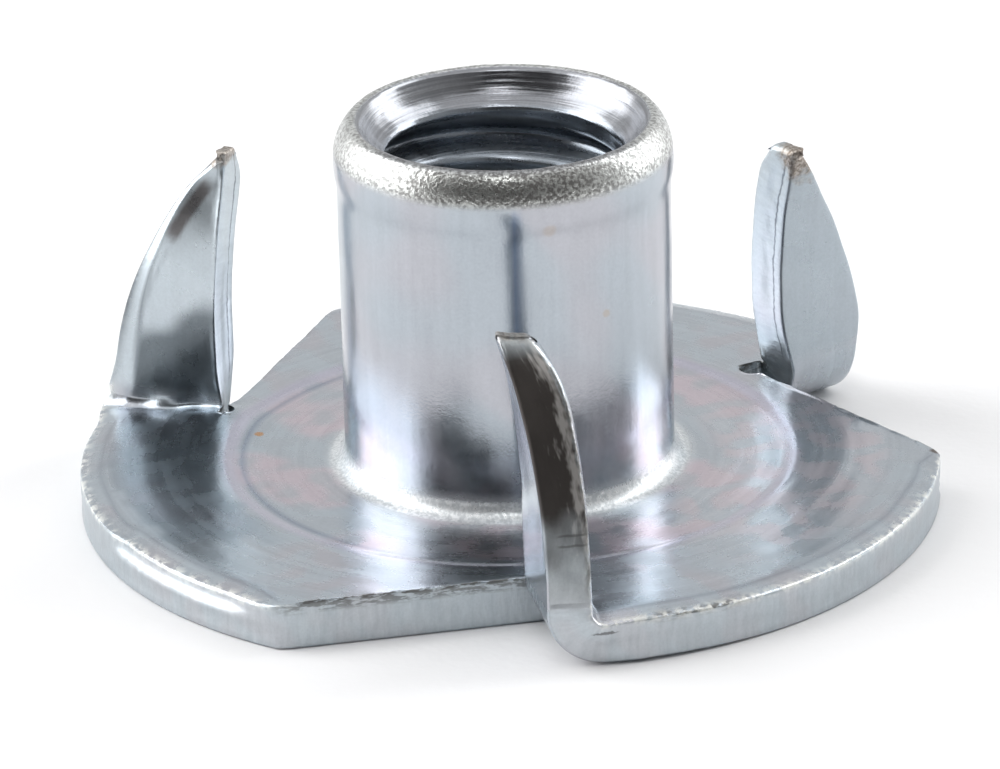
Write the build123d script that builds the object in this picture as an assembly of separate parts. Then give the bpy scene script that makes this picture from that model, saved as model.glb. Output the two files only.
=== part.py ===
from build123d import *
import math
import os

os.makedirs("parts", exist_ok=True)

# Three-prong tee nut for wood: 1/4"-20 thread, 3/4" flange, 5/16" barrel.
# It is one stamped and drawn piece of sheet steel. Millimetres. The origin is
# on the barrel's axis at the flange's underside, +Z runs up the barrel, and
# the prongs point up beside it.

# ---- driving dimensions ------------------------------------------------------
flange_d = 19.05          # 3/4 in
sheet_t = 1.06            # 19 gauge sheet
barrel_rise = 7.88        # 5/16 in less the rounding of its mouth
barrel_d = 7.30           # plain outside of the barrel
lip_bulge = 0.07          # the barrel's mouth swells by this much
lip_h = 0.95              # height of the rounded mouth
bore_d = 5.10             # minor diameter of a 1/4-20 UNC thread
crest_r = 3.28            # radius of the mouth's highest line
inner_lip_r = 0.20        # rounding from that line into the countersink
sink_slope = 33.0         # slope of the countersink's wall off the axis, degrees
mouth_sink_h = 0.76       # depth of that countersink
draw_r = 1.05             # radius where the sheet turns up into the bore
base_fillet_r = 0.40      # outside radius at the barrel's foot

land_r = 6.02             # flat annulus round the barrel
step_w = 0.40             # width of the small step outside that annulus
step_h = 0.05             # depth of the annulus below the outer zone
roll_r = 0.15             # rounded die-roll along the blank's round edge
under_break = 0.06        # broken edge under the rim

bend_r = 0.25             # inside radius of each prong's bend
notch_r = 0.30            # relief at the end of each shear
corner_flat = 0.06        # how far the flange's sheared corners are blunted

# The three prongs are sheared and bent up from the flange 120 degrees apart.
# They differ a little, as bent sheet does.
#   tool    direction of the shear's normal, about +Z from +X
#   turn    direction in which the bent prong really stands
#   shear   distance of the sheared edge from the axis
#   inner   distance of the prong's inner edge from the axis
#   face    offset of the prong's flange-side face from radial
#   plumb   height up to which the prong stands plumb
#   curl    radius of its gentle curve above that
#   arc     height about which its outer arc is struck
#   tip     height of its blunt tip
prongs = [
    dict(tool=39.0, turn=36.8, shear=6.98, inner=7.10, face=0.22,
         plumb=3.45, curl=9.00, arc=0.62, tip=6.74),
    dict(tool=159.0, turn=158.6, shear=6.82, inner=6.86, face=0.36,
         plumb=3.60, curl=6.85, arc=0.68, tip=7.14),
    dict(tool=281.9, turn=281.8, shear=6.92, inner=6.99, face=-0.20,
         plumb=4.20, curl=6.50, arc=0.70, tip=6.80),
]

# ---- derived -----------------------------------------------------------------
R = flange_d / 2
rb = barrel_d / 2
bore_r = bore_d / 2
H = sheet_t + barrel_rise
ri, ro = bend_r, bend_r + sheet_t
z_bend = sheet_t + bend_r
s45 = math.sqrt(0.5)
lap = 0.06                # length of each prong's foot inside the flange


def facing(angle):
    return Location((0, 0, 0), (0, 0, angle))


# ---- barrel and flange: one section turned about Z ---------------------------
def section():
    z_land = sheet_t - step_h
    lip_r = rb + lip_bulge
    with BuildSketch(Plane.XZ) as sk:
        with BuildLine():
            l1 = Line((bore_r + draw_r, 0), (R - under_break, 0))
            l2 = Line(l1 @ 1, (R, under_break))
            l2b = Line(l2 @ 1, (R, sheet_t - roll_r))
            l3 = RadiusArc(l2b @ 1, (R - roll_r, sheet_t), -roll_r)
            l4 = Line(l3 @ 1, (land_r + step_w, sheet_t))
            l5 = Line(l4 @ 1, (land_r, z_land))
            l6 = Line(l5 @ 1, (rb + base_fillet_r, z_land))
            l7 = RadiusArc(l6 @ 1, (rb, z_land + base_fillet_r), base_fillet_r)
            l8 = Line(l7 @ 1, (rb, H - 1.60))
            # the mouth swells a little, then rolls over to its crest
            l9 = Bezier(l8 @ 1, (rb, H - 1.30), (lip_r, H - 1.25),
                        (lip_r, H - lip_h))
            l10 = Bezier(l9 @ 1, (lip_r, H - 0.42), (crest_r + 0.26, H),
                         (crest_r, H))
            # and over its inner lip into the countersink, whose foot is broken
            a = math.radians(sink_slope)
            mid = math.radians((90 + sink_slope) / 2)
            z_lip = H - inner_lip_r
            r_end, z_end = crest_r - inner_lip_r * math.cos(a), z_lip + inner_lip_r * math.sin(a)
            l11 = ThreePointArc(
                l10 @ 1,
                (crest_r - inner_lip_r * math.cos(mid), z_lip + inner_lip_r * math.sin(mid)),
                (r_end, z_end))
            z_foot = H - mouth_sink_h + 0.08
            r_foot = r_end - (z_end - z_foot) * math.tan(a)
            l11b = Line(l11 @ 1, (r_foot, z_foot))
            l12 = Line(l11b @ 1, (bore_r, H - mouth_sink_h))
            l13 = Line(l12 @ 1, (bore_r, draw_r))
            # drawn entry to the bore, from the underside
            RadiusArc(l13 @ 1, (bore_r + draw_r, 0), draw_r)
        make_face()
    return sk.sketch


# ---- one prong, in a frame with X outwards, Y across it and Z up -------------
def strip(p):
    """Side profile of the bent tab: flange, bend, plumb part, gentle curve."""
    u_in, u_out = p["face"], p["face"] - sheet_t
    u_bend = u_in + ri
    r_in, r_out = p["curl"], p["curl"] - sheet_t
    c = u_in - r_in                          # centre of the gentle curve
    lean = math.asin((p["tip"] + 0.6 - p["plumb"]) / r_in)
    half = lean / 2
    z0 = p["plumb"]
    with BuildSketch(Plane.YZ) as sk:
        with BuildLine():
            a = Line((u_bend + lap, 0), (u_bend, 0))
            b = ThreePointArc(a @ 1, (u_bend - ro * s45, z_bend - ro * s45),
                              (u_out, z_bend))
            d = Line(b @ 1, (u_out, z0))
            e = ThreePointArc(d @ 1,
                              (c + r_out * math.cos(half), z0 + r_out * math.sin(half)),
                              (c + r_out * math.cos(lean), z0 + r_out * math.sin(lean)))
            f = Line(e @ 1, (c + r_in * math.cos(lean), z0 + r_in * math.sin(lean)))
            g = ThreePointArc(f @ 1,
                              (c + r_in * math.cos(half), z0 + r_in * math.sin(half)),
                              (u_in, z0))
            h = Line(g @ 1, (u_in, z_bend))
            i = ThreePointArc(h @ 1, (u_bend - ri * s45, z_bend - ri * s45),
                              (u_bend, sheet_t))
            j = Line(i @ 1, (u_bend + lap, sheet_t))
            Line(j @ 1, a @ 0)
        make_face()
    return sk.sketch


def round_edge(p, z):
    """Distance of the prong's round edge from the axis at a height. It starts
    on the flange's rim, at the foot of the bend."""
    foot = math.sqrt(R * R - (p["face"] + ri) ** 2)
    return math.sqrt(foot ** 2 - max(0.0, z - p["arc"]) ** 2)


def outline(p):
    """The tab seen across its width: sheared inner edge, the blank's own arc
    outside, and a blunt tip."""
    n_in, z_arc, z_tip = p["inner"], p["arc"], p["tip"]
    z_end = z_tip - 0.20
    z_mid = 0.5 * (z_arc + z_end)
    n_foot, n_mid, n_end = (round_edge(p, z) for z in (0.0, z_mid, z_end))
    with BuildSketch(Plane.XZ) as sk:
        with BuildLine():
            a = Line((n_in, -0.5), (n_foot, -0.5))
            b = Line(a @ 1, (n_foot, z_arc))
            c = ThreePointArc(b @ 1, (n_mid, z_mid), (n_end, z_end))
            d = Line(c @ 1, (n_end - 0.10, z_tip))
            e = Line(d @ 1, (n_in + 0.03, z_tip))
            f = Line(e @ 1, (n_in, z_tip - 0.25))
            Line(f @ 1, a @ 0)
        make_face()
    return sk.sketch


def prong(p):
    tab = extrude(strip(p), amount=R + 2) & extrude(outline(p), amount=6, both=True)
    # die-roll: the outer edge of the flange-side face, through the bend
    c = p["face"] - p["curl"]
    rolled = []
    for e in tab.edges():
        pts = [e @ s for s in (0.0, 0.5, 1.0)]
        if not all(abs(q.X - round_edge(p, q.Z)) < 0.01 for q in pts):
            continue
        foot = all(abs(q.Z - sheet_t) < 0.01 for q in pts)
        bend = all(abs(math.hypot(q.Y - p["face"] - ri, q.Z - z_bend) - ri) < 0.01
                   for q in pts)
        plumb = all(abs(q.Y - p["face"]) < 0.01 for q in pts)
        curl = all(abs(math.hypot(q.Y - c, q.Z - p["plumb"]) - p["curl"]) < 0.01
                   for q in pts)
        if foot or bend or plumb or curl:
            rolled.append(e)
    return tab.fillet(roll_r, rolled).moved(facing(p["turn"]))


def shear(p):
    """What the shear and the bend take out of the flange."""
    half_chord = math.sqrt(R * R - p["shear"] ** 2)
    u_bend = p["face"] + ri
    beyond = Box(5, 14, 4, align=(Align.MIN, Align.CENTER, Align.CENTER)).moved(
        Location((p["shear"], -4, 0)))
    behind = Box(24, 12, 4, align=(Align.CENTER, Align.MAX, Align.CENTER)).moved(
        Location((0, u_bend, 0)))
    tab = beyond.moved(facing(p["tool"])) & behind.moved(facing(p["turn"]))
    relief = Cylinder(notch_r, 4).moved(
        Location((p["shear"] + 0.04, u_bend - 0.28, 0))).moved(facing(p["turn"]))
    # a narrow flat across the corner where the shear starts at the edge
    ca = math.acos(p["shear"] / R)
    bx, by = math.sin(ca), math.cos(ca) - 1
    bl = math.hypot(bx, by)
    bx, by = bx / bl, by / bl
    corner = Box(1, 2, 4, align=(Align.MIN, Align.CENTER, Align.CENTER)).moved(
        Location((p["shear"] - bx * corner_flat, -half_chord - by * corner_flat, 0),
                 (0, 0, math.degrees(math.atan2(by, bx))))).moved(facing(p["tool"]))
    return [tab, relief, corner]


nut = revolve(section(), Axis.Z)
for p in prongs:
    for cutter in shear(p):
        nut = nut - cutter
for p in prongs:
    nut = nut + prong(p)


solids = nut.solids()
print("solids", len(solids),
      "volume", round(nut.volume, 3), "size", nut.bounding_box().size)
nut = solids[0]
nut.label = "tee_nut"
export_step(nut, "parts/tee_nut.step")
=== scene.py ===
import math

import bpy
import numpy as np
from mathutils import Matrix, Vector
from mathutils.geometry import delaunay_2d_cdt


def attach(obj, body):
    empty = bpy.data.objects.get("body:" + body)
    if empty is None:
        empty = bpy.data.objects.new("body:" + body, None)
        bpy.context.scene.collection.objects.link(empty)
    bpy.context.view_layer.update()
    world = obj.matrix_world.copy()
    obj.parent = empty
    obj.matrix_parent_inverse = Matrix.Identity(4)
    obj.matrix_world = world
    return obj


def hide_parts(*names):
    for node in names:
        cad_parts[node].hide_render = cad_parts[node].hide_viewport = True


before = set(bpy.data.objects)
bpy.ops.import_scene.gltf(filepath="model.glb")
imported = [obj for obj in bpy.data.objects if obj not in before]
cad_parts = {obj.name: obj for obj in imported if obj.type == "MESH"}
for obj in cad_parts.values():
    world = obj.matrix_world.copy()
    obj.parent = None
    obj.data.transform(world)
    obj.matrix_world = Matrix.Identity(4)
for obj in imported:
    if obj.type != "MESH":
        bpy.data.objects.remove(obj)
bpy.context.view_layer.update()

# =============================================================================
# The tee nut as one skin, in millimetres, in the frame of the solid: origin on
# the barrel's axis at the underside, +Z up the barrel.
# =============================================================================
R = 9.525                 # flange
T = 1.06                  # sheet
H = 8.94                  # barrel's height over the underside
RB = 3.65                 # barrel, plain outside
BORE = 2.55               # thread's minor radius
MAJOR = 3.175             # thread's major radius
PITCH = 1.27
DRAW = 1.05               # entry radius underneath
LAND, STEP_W, STEP_H = 6.02, 0.38, 0.07
NT = 240                  # columns round the barrel
ZINC = 0.84               # how much light the plate gives back

PRONGS = [
    dict(tool=39.0, turn=36.8, shear=6.98, inner=7.10, face=0.22, arc=0.62, tip=6.74,
         lean=[(1.2, 0), (3.5, 0), (4.0, 7), (4.8, 7), (5.2, 11), (5.8, 17), (6.4, 21), (7.6, 22)],
         level=0.95, flare=0.40, ri=0.16, squeeze=(0.10, 0.26), shift=-0.05,
         thin=0.80, taper=1.0, pivot=0.5, swell=0.08),
    dict(tool=159.0, turn=158.6, shear=6.82, inner=6.86, face=0.26, arc=0.68, tip=7.16,
         lean=[(1.3, 0), (1.8, -4), (2.4, -6), (3.1, -5), (3.6, -1), (4.0, 3), (4.5, 8), (5.0, 10),
               (5.4, 15), (5.8, 20), (6.3, 18), (6.7, 8), (7.8, 4)],
         level=0.0, nip=0.05, flare=0.12, ri=0.24, squeeze=(0.26, 0.10), shift=-0.11,
         thin=0.64, taper=0.75, pivot=0.0, swell=0.19),
    dict(tool=281.9, turn=281.8, shear=6.92, inner=6.99, face=-0.20, arc=0.70, tip=6.84,
         lean=[(1.2, 0), (3.0, 0), (3.8, 4.5), (4.6, 5), (5.2, 7.5), (5.8, 15), (6.2, 22),
               (6.6, 26), (7.6, 28)],
         level=0.95, flare=0.12, ri=0.14, squeeze=(0.10, 0.10), shift=0.0,
         thin=0.64, taper=1.5, pivot=0.5, swell=0.08),
]


def smooth(a, b, x):
    t = np.clip((np.asarray(x, float) - a) / (b - a), 0.0, 1.0)
    return t * t * (3 - 2 * t)


def bump(x, c, w):
    return np.exp(-((np.asarray(x, float) - c) / w) ** 2)


def line_noise(s, total, cell, seed):
    """Smooth random values along a closed line."""
    n = max(4, int(round(total / cell)))
    v = np.random.default_rng(seed).uniform(-1, 1, n)
    x = np.asarray(s, float) / total * n
    i = np.floor(x).astype(int)
    f = x - i
    f = f * f * (3 - 2 * f)
    return v[i % n] * (1 - f) + v[(i + 1) % n] * f


def wave_noise(P, scale, seed, terms=14):
    """Smooth random values over space, as a sum of waves."""
    g = np.random.default_rng(seed)
    out = 0
    for _ in range(terms):
        d = g.normal(size=P.shape[-1])
        d = d / np.linalg.norm(d) * g.uniform(0.6, 1.6) / scale * 6.28
        out = out + np.sin(P @ d + g.uniform(0, 6.28))
    return out / math.sqrt(terms)


# ---- the sheet: flange faces and the bent tabs --------------------------------
def flange_top(x, y):
    r = np.hypot(x, y)
    th = np.degrees(np.arctan2(y, x))
    z = T - STEP_H * (1 - smooth(LAND, LAND + STEP_W, r))
    P = np.stack([x, y], -1)
    z = z + 0.004 * wave_noise(P, 3.4, 5) * smooth(RB + 0.5, 6.0, r)
    z = z + 0.0015 * wave_noise(P, 1.1, 6) * smooth(RB + 0.5, 5.0, r)
    # rings left by the draw
    rr = r + 0.10 * wave_noise(P, 5.0, 7)
    rings = 0.0026 * np.sin(6.283 * rr / 0.66) + 0.0014 * np.sin(6.283 * rr / 0.37 + 1.0)
    rings = rings * (1 + 1.1 * np.exp(-((th + 15) / 38) ** 2))
    z = z + rings * smooth(RB + 0.55, 4.7, r) * (1 - smooth(8.2, 9.0, r))
    return z + pulled(x, y)


def pulled(x, y):
    """The sheet was pulled up a little beside two of the bends."""
    z = 0.07 * np.exp(-(((x - 2.6) / 2.2) ** 2 + ((y + 8.6) / 1.5) ** 2))
    return z + 0.20 * np.exp(-(((x + 6.55) / 0.95) ** 2 + ((y - 2.05) / 0.85) ** 2))


def flange_bottom(x, y):
    return pulled(x, y)


def flange_point(x, y, d):
    for tab in TABS:
        n = x * tab.n[0] + y * tab.n[1]
        u = x * tab.u[0] + y * tab.u[1]
        w = ((n > 6.0) & (u > tab.ub - 1e-6)) * tab.bulge(n, tab.ub - u, d)
        x, y = x + w * tab.n[0], y + w * tab.n[1]
    f = d / T
    z = flange_top(x, y) * (1 - f) + flange_bottom(x, y) * f
    return np.stack([x, y, z], -1)


class Tab:
    """One prong: a tab of the sheet, in a frame with n outwards, u across."""

    def __init__(self, p, seed):
        self.p = p
        a = math.radians(p["turn"])
        self.n = np.array([math.cos(a), math.sin(a)])
        self.u = np.array([-math.sin(a), math.cos(a)])
        self.ri = p["ri"]
        self.ub = p["face"] + self.ri
        self.foot = math.sqrt(R * R - self.ub ** 2)
        self.lb = (self.ri + 0.5 * T) * math.pi / 2
        self.zb = T + self.ri
        # the middle of the sheet above the bend, from its lean at each height
        zs, deg = zip(*p["lean"])
        g = 0.01
        v, u, z, lean = [self.lb], [p["face"] - 0.5 * T], [self.zb], [0.0]
        while z[-1] < p["tip"] + 1.2:
            a = math.radians(float(np.interp(z[-1], zs, deg)))
            v.append(v[-1] + g)
            u.append(u[-1] - g * math.sin(a))
            z.append(z[-1] + g * math.cos(a))
            lean.append(a)
        self.line = tuple(np.array(q) for q in (v, u, z, lean))
        self.vt = float(np.interp(p["tip"], z, v))
        self.seed = seed

    def section(self, v, d):
        """u and z for a distance v up the tab and a depth d under its face."""
        p = self.p
        v = np.asarray(v, float)
        lv, lu, lz, la = self.line
        v = v + p["level"] * np.tan(np.interp(v, lv, la)) * (d - 0.5 * T) \
            * smooth(self.vt - 1.6, self.vt, v)
        phi = np.clip(v / self.lb, 0, 1) * math.pi / 2
        dd = d * (1 - 0.05 * np.sin(2 * phi))
        cu, cz = p["face"] + self.ri, self.zb
        r = self.ri + dd
        ub, zb = cu - r * np.sin(phi), cz - r * np.cos(phi)
        a = np.interp(v, lv, la)
        x = np.clip((v - (self.vt - p["taper"])) / p["taper"], 0, 1.2)
        k = 1 - (1 - p["thin"]) * x ** 1.4
        c = p["pivot"] * T
        off = 0.5 * T - (c + (d - c) * k)
        uc = np.interp(v, lv, lu) + off * np.cos(a)
        zc = np.interp(v, lv, lz) + off * np.sin(a)
        u = np.where(v < self.lb, ub, uc)
        z = np.where(v < self.lb, zb, zc)
        u = np.where(v < 0, cu - v, u)
        z = np.where(v < 0, T - d, z)
        return u, z

    def bulge(self, n, v, d):
        """Bending squeezes the sheet's edge out on the inside of the bend and
        draws it in on the outside."""
        s = np.clip((n - self.p["inner"]) / (self.foot - self.p["inner"]), 0, 1)
        f = d / T
        w = smooth(-0.9, 0.25, v) * (1 - smooth(self.lb * 0.7, self.lb + 1.1, v))
        a, b = self.p["squeeze"]
        return w * (s ** 3 * (a * (1 - f) - b * f) - (1 - s) ** 3 * (self.p["swell"] * (1 - f) - 0.10 * f))

    def point(self, n, v, d):
        n = n + self.bulge(n, v, d)
        u, z = self.section(v, d)
        n = n + self.p["shift"] * smooth(2.2, 6.4, z)
        x = n * self.n[0] + u * self.u[0]
        y = n * self.n[1] + u * self.u[1]
        hold = 1 - smooth(0.0, self.lb * 1.6, v)
        z = z + hold * pulled(x, y)
        # wrinkles that the bend leaves
        w = smooth(-0.3, 0.3, v) * (1 - smooth(self.lb * 0.9, self.lb + 0.9, v))
        q = np.stack([n, v * 0.5, 0 * n + self.seed], -1)
        f = 0.016 * w * (1 - np.asarray(d) / T) * wave_noise(q, 0.75, 31)
        x, y, z = x + f * self.u[0], y + f * self.u[1], z + 0.7 * f
        return np.stack([x, y, z], -1)

    def inner(self, v):
        p = self.p
        _, z = self.section(v, 0.5 * T)
        n = p["inner"] + p["flare"] * (1 - smooth(0.3, 2.9, z))
        rc = p.get("nip", 0.16)
        w = np.clip(v - (self.vt - rc), 0, rc)
        return n + rc - np.sqrt(rc * rc - w * w * 0.96)

    def outer(self, v):
        p = self.p
        _, z = self.section(v, 0.5 * T)
        n = np.sqrt(self.foot ** 2 - np.clip(z - p["arc"], 0, None) ** 2)
        rc = 0.20
        w = np.clip(v - (self.vt - rc), 0, rc)
        n = n - (rc - np.sqrt(rc * rc - w * w * 0.96)) * 0.75
        return np.maximum(n, self.inner(v) + 0.20)        # a blunt tip, never a crossed one

    def rows(self):
        nb = 12
        a = np.linspace(0, self.lb, nb + 1)
        m = int(round((self.vt - 0.26 - self.lb) / 0.115))
        b = np.linspace(self.lb, self.vt - 0.26, m + 1)[1:]
        c = self.vt - np.array([0.19, 0.13, 0.08, 0.035, 0.0])
        return np.concatenate([a, b, c])


TABS = [Tab(p, 11 + i) for i, p in enumerate(PRONGS)]
NC = 18


def chord_corner(p):
    return p["tool"] - math.degrees(math.acos(p["shear"] / R))


def build():
    V, F = [], []                          # vertices, triangles
    att = {k: [] for k in ("cut", "depth", "tab", "high", "bore", "loop", "arc", "wall", "brim", "band",
                         "cloud", "patch")}
    count = 0

    def add(P, cut=0.0, depth=0.0, tab=0.0, high=0.0, bore=0.0, loop=0.0, arc=0.0, wall=0.0,
            brim=0.0, band=0.0):
        nonlocal count
        P = np.asarray(P, float).reshape(-1, 3)
        n = len(P)
        V.append(P)
        for key, val in (("cut", cut), ("depth", depth), ("tab", tab),
                         ("high", high), ("bore", bore), ("loop", loop), ("arc", arc),
                         ("wall", wall), ("brim", brim), ("band", band),
                         ("cloud", 0.5 + 0.28 * wave_noise(P, 3.2, 91)),
                         ("patch", 0.5 + 0.28 * wave_noise(P, 1.1, 92))):
            att[key].append(np.broadcast_to(np.asarray(val, float).reshape(-1), (n,)))
        ids = np.arange(count, count + n)
        count += n
        return ids

    def quads(a, b, c, d):
        a, b, c, d = (np.asarray(q).ravel() for q in (a, b, c, d))
        flip = (np.arange(len(a)) % 2).astype(bool)
        t1 = np.where(flip[:, None], np.stack([a, b, c], 1), np.stack([a, b, d], 1))
        t2 = np.where(flip[:, None], np.stack([a, c, d], 1), np.stack([b, c, d], 1))
        t = np.concatenate([t1, t2])
        ok = (t[:, 0] != t[:, 1]) & (t[:, 1] != t[:, 2]) & (t[:, 0] != t[:, 2])
        F.append(t[ok])

    # ---- the closed line round the blank: chord, tab, lobe, three times -------
    kind, loc, blank = [], [], []          # tab index or -1; (n, v) or (x, y)
    where = []                             # per prong, index of parts of the line
    for k, p in enumerate(PRONGS):
        tab = TABS[k]
        ta = math.radians(p["tool"])
        tn = np.array([math.cos(ta), math.sin(ta)])
        tu = np.array([-math.sin(ta), math.cos(ta)])
        hc = math.sqrt(R * R - p["shear"] ** 2)
        ids = {}
        # blunted corner where the shear starts
        rim_a = math.radians(chord_corner(p)) - 0.10 / R
        c0 = R * np.array([math.cos(rim_a), math.sin(rim_a)])
        c2 = p["shear"] * tn + (-hc + 0.20) * tu
        c1 = 0.5 * (c0 + c2) * 0.9 + 0.10 * (p["shear"] * tn - hc * tu)
        ids["corner"] = len(kind)
        for q in (c1,):
            kind.append(-1); loc.append(q); blank.append(q)
        # notch at the end of the shear
        cen = (p["shear"] + 0.04) * tab.n + (tab.ub - 0.28) * tab.u
        arcs = []
        for g in np.radians(np.linspace(258, 92, 11)):
            arcs.append(cen + 0.30 * (math.cos(g) * tab.n + math.sin(g) * tab.u))
        u_end = float(arcs[0] @ tu)
        m = int(round((u_end + hc - 0.20) / 0.105))
        ids["chord"] = len(kind)
        for u in np.linspace(-hc + 0.20, u_end - 0.08, m + 1):
            q = p["shear"] * tn + u * tu
            kind.append(-1); loc.append(q); blank.append(q)
        n_h = float(tab.inner(0.0))
        ids["notch"] = len(kind)
        for q in arcs:
            kind.append(-1); loc.append(q); blank.append(q)
        gap = n_h - (p["shear"] + 0.04)
        for s in np.linspace(0, 1, max(2, int(gap / 0.11) + 1))[1:-1]:
            q = (p["shear"] + 0.04 + gap * s) * tab.n + (tab.ub + 0.02 * (1 - s)) * tab.u
            kind.append(-1); loc.append(q); blank.append(q)
        # the tab: inner edge, tip, round edge
        rows = tab.rows()
        ids["in"] = len(kind)
        for v in rows:
            n = float(tab.inner(v))
            kind.append(k); loc.append((n, v))
            blank.append(n * tab.n + (tab.ub - v) * tab.u)
        a, b = float(tab.inner(rows[-1])), float(tab.outer(rows[-1]))
        ids["tip"] = len(kind) - 1
        for s in np.linspace(0, 1, NC + 1)[1:-1]:
            n = a + (b - a) * s
            kind.append(k); loc.append((n, rows[-1]))
            blank.append(n * tab.n + (tab.ub - rows[-1]) * tab.u)
        ids["out"] = len(kind)
        for v in rows[::-1]:
            n = float(tab.outer(v))
            kind.append(k); loc.append((n, v))
            blank.append(n * tab.n + (tab.ub - v) * tab.u)
        # the lobe's round edge
        nxt = PRONGS[(k + 1) % 3]
        a0 = math.atan2(*(tab.foot * tab.n + tab.ub * tab.u)[::-1])
        a1 = math.radians(chord_corner(nxt)) - 0.10 / R
        while a1 < a0:
            a1 += 2 * math.pi
        m = int(round((a1 - a0) * R / 0.105))
        ids["lobe"] = len(kind)
        for g in np.linspace(a0, a1, m + 1)[1:]:
            q = R * np.array([math.cos(g), math.sin(g)])
            kind.append(-1); loc.append(q); blank.append(q)
        ids["end"] = len(kind)
        ids["rows"] = rows
        where.append(ids)
    kind = np.array(kind); loc = np.array(loc, float); blank = np.array(blank)
    L = len(kind)
    nxt_i, prv_i = (np.arange(L) + 1) % L, (np.arange(L) - 1) % L
    step = np.linalg.norm(blank[nxt_i] - blank, axis=1)
    run = np.concatenate([[0], np.cumsum(step)[:-1]])
    total = step.sum()
    e1 = blank - blank[prv_i]; e2 = blank[nxt_i] - blank
    e1 /= np.linalg.norm(e1, axis=1)[:, None] + 1e-12
    e2 /= np.linalg.norm(e2, axis=1)[:, None] + 1e-12
    n1 = np.stack([-e1[:, 1], e1[:, 0]], 1); n2 = np.stack([-e2[:, 1], e2[:, 0]], 1)
    inw = n1 + n2
    inw /= np.linalg.norm(inw, axis=1)[:, None] + 1e-12
    miter = np.clip(1 / np.clip((inw * n1).sum(1), 0.35, 1), 1, 1.5)
    inw = inw * miter[:, None]
    on_arc = np.zeros(L, bool); on_cut = np.zeros(L, bool)
    vpos = np.where(kind >= 0, loc[:, 1], 0.0)
    tipness = np.zeros(L)
    for k, ids in enumerate(where):
        tab = TABS[k]
        on_arc[ids["out"]:ids["end"]] = True
        on_cut[ids["corner"]:ids["out"]] = True
        sel = kind == k
        tipness[sel] = smooth(tab.vt - 2.0, tab.vt - 0.1, vpos[sel])
        ends = 0.30                       # the sides' rows give way to the tip's
        for i in range(ids["in"], ids["lobe"]):
            if ids["tip"] < i < ids["out"]:
                s = (i - ids["tip"]) / NC
                side = np.clip(1 - s / 0.32, 0, 1) - np.clip(1 - (1 - s) / 0.32, 0, 1)
                inw[i] = tab.u + side * tab.n
            else:
                g = np.clip(1 - (tab.vt - loc[i, 1]) / ends, 0, 1)
                inw[i] = (1.0 if i <= ids["tip"] else -1.0) * tab.n + g * tab.u
    # how the edge is formed: rolled over on one side, torn and burred on the other
    near = np.zeros(L)
    for ids in where:
        for c in (ids["corner"],):
            dist = np.linalg.norm(blank - blank[c], axis=1)
            near = np.maximum(near, 1 - smooth(0.1, 0.7, dist))
    near = smooth(0.0, 1.0, near)
    nook = np.zeros(L)                     # where the shear runs into its relief
    for ids in where:
        for i in (ids["notch"], ids["in"] - 1):
            dist = np.linalg.norm(blank - blank[i], axis=1)
            nook = np.maximum(nook, 1 - smooth(0.12, 0.5, dist))
    wide = np.zeros(L)                     # away from the corners' wedges
    wide += 1
    for ids in where:
        dist = np.linalg.norm(blank - blank[ids["corner"]], axis=1)
        wide = np.minimum(wide, 0.35 + 0.65 * smooth(0.05, 0.9, dist))
    arcness = on_arc.astype(float)
    tipw = np.zeros(L)
    narrow = np.zeros(L)
    ledge = np.zeros(L)
    for k, ids in enumerate(where):
        tab = TABS[k]
        sel = kind == k
        tipw[sel] = smooth(tab.vt - 0.75, tab.vt - 0.12, vpos[sel])
        narrow[sel] = smooth(tab.vt - 4.2, tab.vt - 0.7, vpos[sel])
    az = np.degrees(np.arctan2(blank[:, 1], blank[:, 0])) % 360
    ledge = smooth(203, 208, az) * (1 - smooth(229, 236, az)) * on_arc * (kind < 0)
    for _ in range(8):                     # blend the two kinds of edge along the line
        arcness = 0.25 * arcness[prv_i] + 0.5 * arcness + 0.25 * arcness[nxt_i]
    w_roll = 0.50 * (1 - 0.78 * narrow) * (0.12 + 0.88 * wide)
    w_roll = w_roll * (1 + 0.08 * line_noise(run, total, 1.3, 21))
    deep = (0.55 + 0.45 * wide) * (1 - 0.35 * narrow)
    fine = line_noise(run, total, 0.13, 23)
    burr = np.clip(0.9 + 0.5 * line_noise(run, total, 0.8, 24) + 0.5 * fine, 0.1, 1.9)
    burr = burr * (1 - 0.6 * (kind >= 0)) * (1 - near)
    arc_rows = [(1.00, 0.000), (0.92, 0.008), (0.70, 0.030), (0.47, 0.053), (0.27, 0.074),
                (0.13, 0.092), (0.05, 0.112), (0.012, 0.137), (0.0, 0.175)]
    cut_rows = [(0.150, 0.000), (0.115, -0.005), (0.088, -0.014), (0.064, -0.024),
                (0.044, -0.030), (0.026, -0.026), (0.012, -0.008), (0.003, 0.018), (0.0, 0.048)]
    tip_rows = [(0.190, 0.000), (0.160, 0.004), (0.128, 0.014), (0.098, 0.030), (0.070, 0.052),
                (0.044, 0.080), (0.022, 0.112), (0.006, 0.150), (0.0, 0.190)]
    w_bot = 0.07 + 0.09 * tipw
    h_bot = 0.06 + 0.12 * tipw
    tear = 0.5 + 0.5 * line_noise(run, total, 0.9, 22)
    prof = []                              # (inset, depth, cut mask) per row
    for (aw, ad), (cw, cd), (tw, td) in zip(arc_rows, cut_rows, tip_rows):
        cd = np.where(cd < 0, cd * burr, cd) * np.ones(L)
        cw = cw * (1 - 0.35 * near) * (1 - 0.7 * nook) + 0.006 * fine * (cw > 0.02) * (kind < 0) * (1 - nook)
        w = arcness * aw * w_roll + (1 - arcness) * cw
        d = arcness * ad * deep + (1 - arcness) * cd
        w = w * (1 - tipw) + tw * tipw
        d = d * (1 - tipw) + td * tipw
        prof.append((w + 0.11 * ledge, d, np.zeros(L)))
    h_top = prof[-1][1]
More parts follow.
